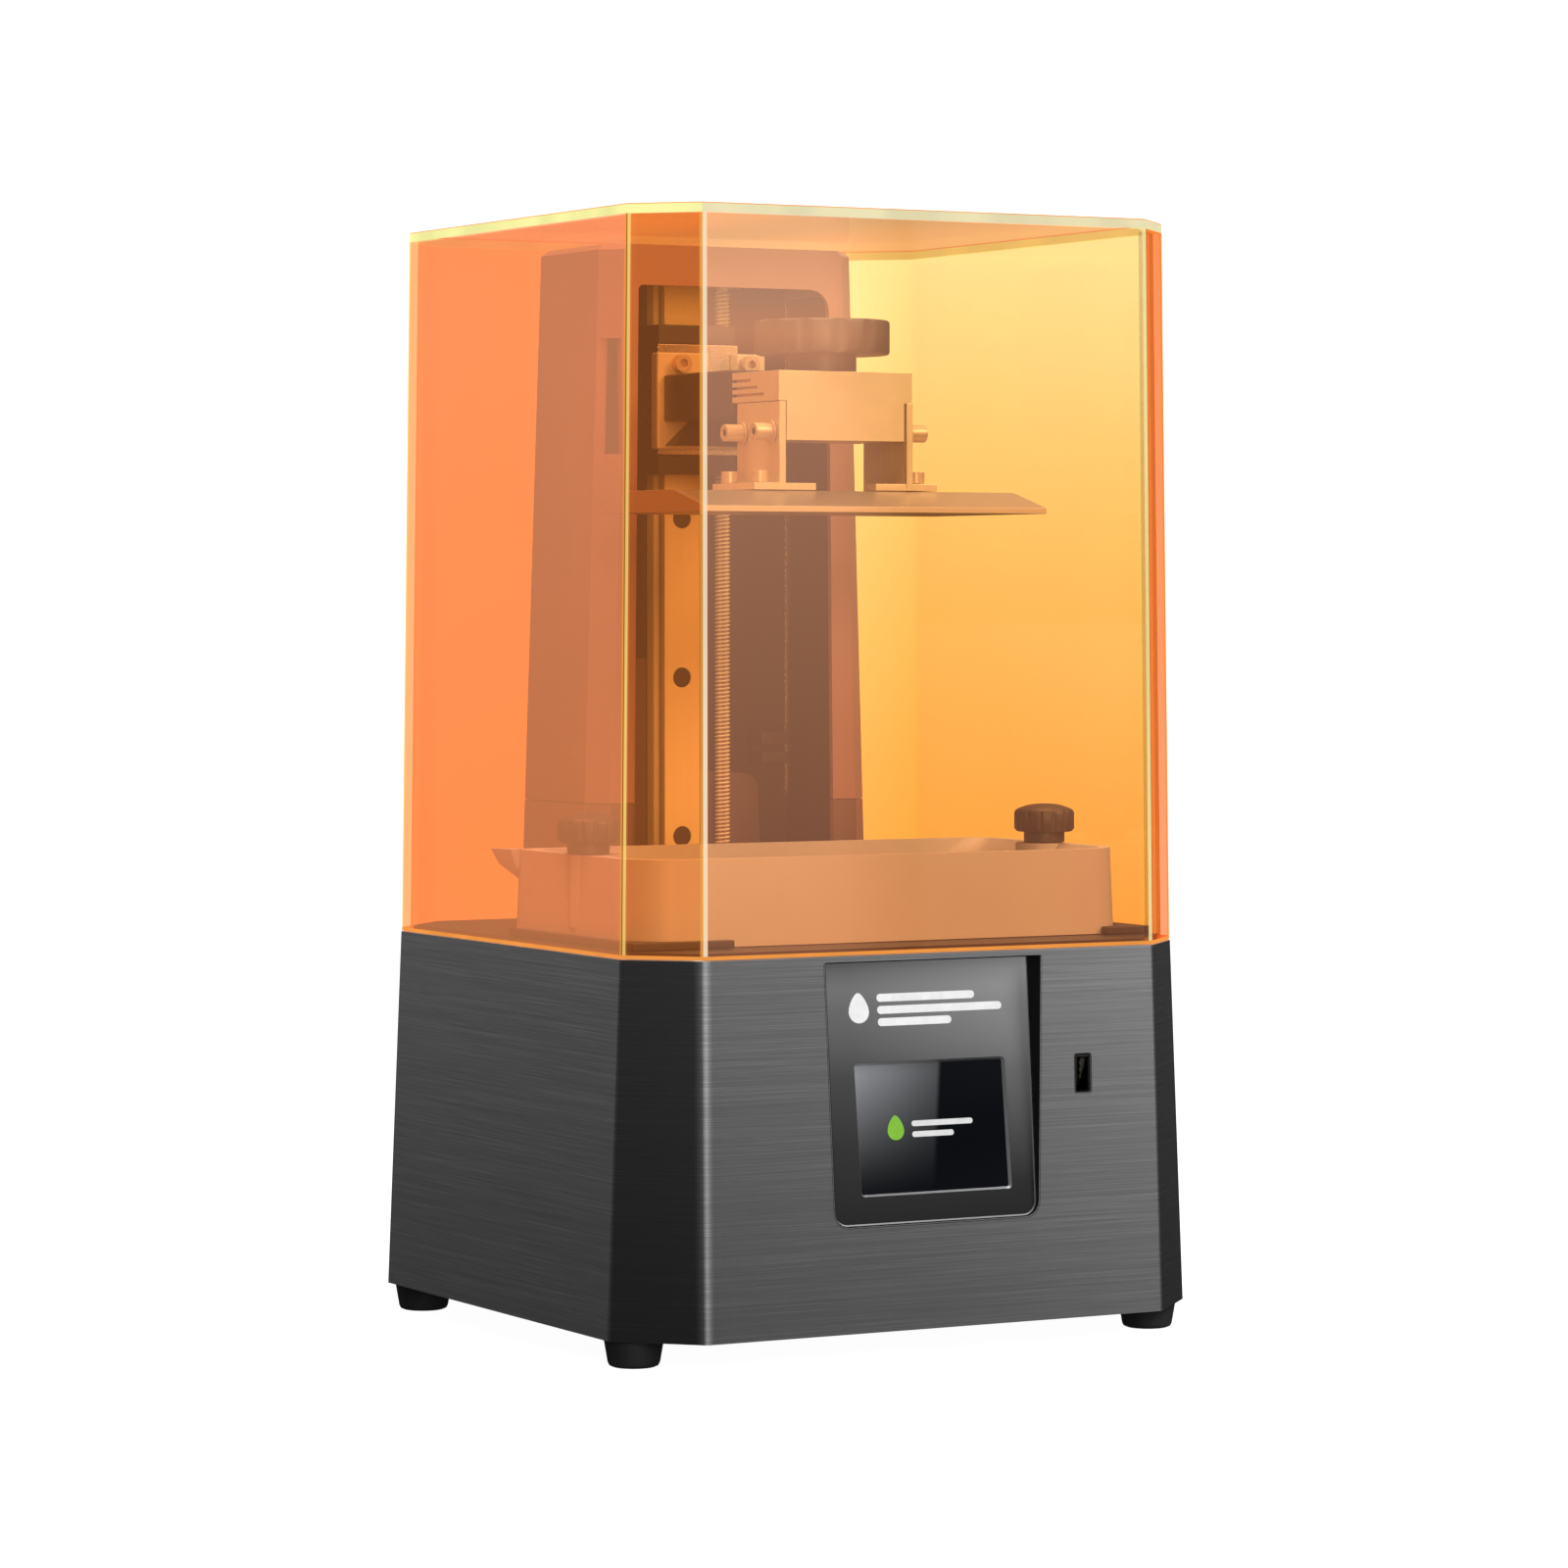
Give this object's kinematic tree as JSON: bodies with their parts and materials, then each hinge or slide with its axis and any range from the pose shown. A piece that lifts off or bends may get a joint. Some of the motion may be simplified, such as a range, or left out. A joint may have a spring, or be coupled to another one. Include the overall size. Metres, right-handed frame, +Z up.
{
  "type": "resin printer",
  "caption": "Desktop resin 3D printer: octagonal housing with tilted touch panel, lift-off tinted cover, resin vat and a build plate on a motorised vertical rail.",
  "frame": {"origin": "on the ground under the middle of the housing", "axes": "+Z up, -Y towards the control panel at the front, +X to the right seen from the front"},
  "size_m": [0.2372, 0.2338, 0.404],
  "materials": {
    "housing": "dark grey with a fine horizontal brushed grain",
    "deck": "satin black powder coat",
    "panel": "satin graphite",
    "screen": "glossy black glass",
    "electronics": "solder-masked circuit board",
    "black_plastic": "moulded black plastic",
    "rubber": "matt black rubber",
    "cover": "clear orange acrylic, polished",
    "vat": "light grey moulded plastic, satin",
    "film": "clear fluoropolymer release film",
    "column": "satin dark grey paint",
    "aluminium": "satin bead-blasted",
    "dark_aluminium": "black anodised",
    "steel": "ground steel",
    "brass": "machined brass"
  },
  "bodies": {
    "chassis": {"base_shell": "housing", "deck_plate": "deck", "bottom_plate": "deck", "rail_backplate": "deck", "control_panel": "panel", "screen_glass": "screen", "masking_lcd": "screen", "display_module": "electronics", "led_board": "electronics", "main_board": "electronics", "power_inlet": "black_plastic", "power_switch_bezel": "black_plastic", "fan_frame": "black_plastic", "vat_guide_left": "black_plastic", "vat_guide_right": "black_plastic", "z_limit_sensor": "black_plastic", "foot_front_left": "rubber", "foot_front_right": "rubber", "foot_rear_left": "rubber", "foot_rear_right": "rubber", "resin_vat": "vat", "release_film": "film", "column_cover": "column", "column_base": "column", "light_cone": "aluminium", "heat_sink": "aluminium", "film_frame": "aluminium", "bearing_block": "aluminium", "z_motor": "dark_aluminium", "usb_socket": "steel", "linear_rail": "steel", "screw_bearing": "steel"},
    "cover": {"cover_shell": "cover"},
    "build_head": {"rail_carriage": "steel", "carriage_cap_top": "black_plastic", "carriage_cap_bottom": "black_plastic", "arm_mount_plate": "aluminium", "mount_screw_left": "steel", "mount_screw_right": "steel", "lead_nut": "brass", "nut_bracket": "aluminium", "z_arm": "dark_aluminium", "head_block": "aluminium", "bracket_left": "aluminium", "bracket_right": "aluminium", "build_plate": "aluminium", "side_screw_left_front": "steel", "side_screw_left_rear": "steel", "side_screw_right_front": "steel", "side_screw_right_rear": "steel", "flange_screw_left_front": "steel", "flange_screw_left_rear": "steel", "flange_screw_right_front": "steel", "flange_screw_right_rear": "steel"},
    "clamp_knob": {"clamp_knob": "black_plastic"},
    "drive_screw": {"lead_screw": "steel"},
    "vat_knob_left": {"vat_knob_left": "black_plastic"},
    "vat_knob_right": {"vat_knob_right": "black_plastic"},
    "fan_rotor": {"fan_rotor": "black_plastic"},
    "rocker": {"power_switch_rocker": "black_plastic"}
  },
  "joints": [
    {"name": "cover_lift", "type": "slide", "parent": "chassis", "child": "cover", "axis": [0, 0, 1], "range_m": [0, 0.265]},
    {"name": "z_travel", "type": "slide", "parent": "chassis", "child": "build_head", "axis": [0, 0, 1], "range_m": [-0.149, 0.008]},
    {"name": "screw_turn", "type": "hinge", "parent": "chassis", "child": "drive_screw", "pos_m": [0.012, 0.0682, 0.25], "axis": [0, 0, 1], "continuous": true},
    {"name": "clamp_knob_turn", "type": "hinge", "parent": "build_head", "child": "clamp_knob", "pos_m": [0, -0.0313, 0.362], "axis": [0, 0, 1], "range_deg": [0, 720]},
    {"name": "vat_knob_left_turn", "type": "hinge", "parent": "chassis", "child": "vat_knob_left", "pos_m": [-0.0955, -0.031, 0.185], "axis": [0, 0, 1], "range_deg": [0, 1440]},
    {"name": "vat_knob_right_turn", "type": "hinge", "parent": "chassis", "child": "vat_knob_right", "pos_m": [0.0955, -0.031, 0.185], "axis": [0, 0, 1], "range_deg": [0, 1440]},
    {"name": "fan_spin", "type": "hinge", "parent": "chassis", "child": "fan_rotor", "pos_m": [-0.05, 0.1025, 0.072], "axis": [0, 1, 0], "continuous": true},
    {"name": "power_rocker", "type": "hinge", "parent": "chassis", "child": "rocker", "pos_m": [0.078, 0.11192, 0.07991], "axis": [1, 0, 0], "range_deg": [0, 16]}
  ],
  "couplings": [
    {"joint": "screw_turn", "follows": "z_travel", "rad_per_m": -4188.8}
  ]
}
